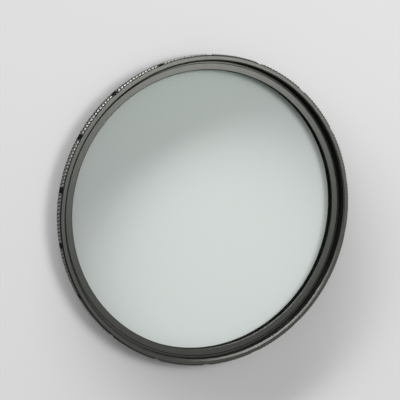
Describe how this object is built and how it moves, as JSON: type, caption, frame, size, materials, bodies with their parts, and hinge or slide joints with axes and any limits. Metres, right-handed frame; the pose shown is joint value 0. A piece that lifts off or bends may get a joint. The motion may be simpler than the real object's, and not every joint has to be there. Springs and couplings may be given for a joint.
{
  "type": "screw-in lens filter",
  "caption": "Slim round screw-in lens filter: knurled thin metal frame with a male thread behind and a female thread in front, holding a flat clear glass disc.",
  "frame": {"origin": "centre of the back face, on the optical axis, at the back end of the male thread", "axes": "+Z along the optical axis towards the front face, +Y through a notch between two grip pads, +X through the middle of a grip pad"},
  "size_m": [0.0748, 0.0748, 0.005],
  "materials": {
    "anodised_frame": "black anodised, fine turned satin",
    "coated_glass": "polished, anti-reflection coated",
    "anodised_ring": "black anodised, fine turned satin"
  },
  "bodies": {
    "root": {"filter_frame": "anodised_frame", "filter_glass": "coated_glass", "retaining_ring": "anodised_ring"}
  },
  "joints": []
}
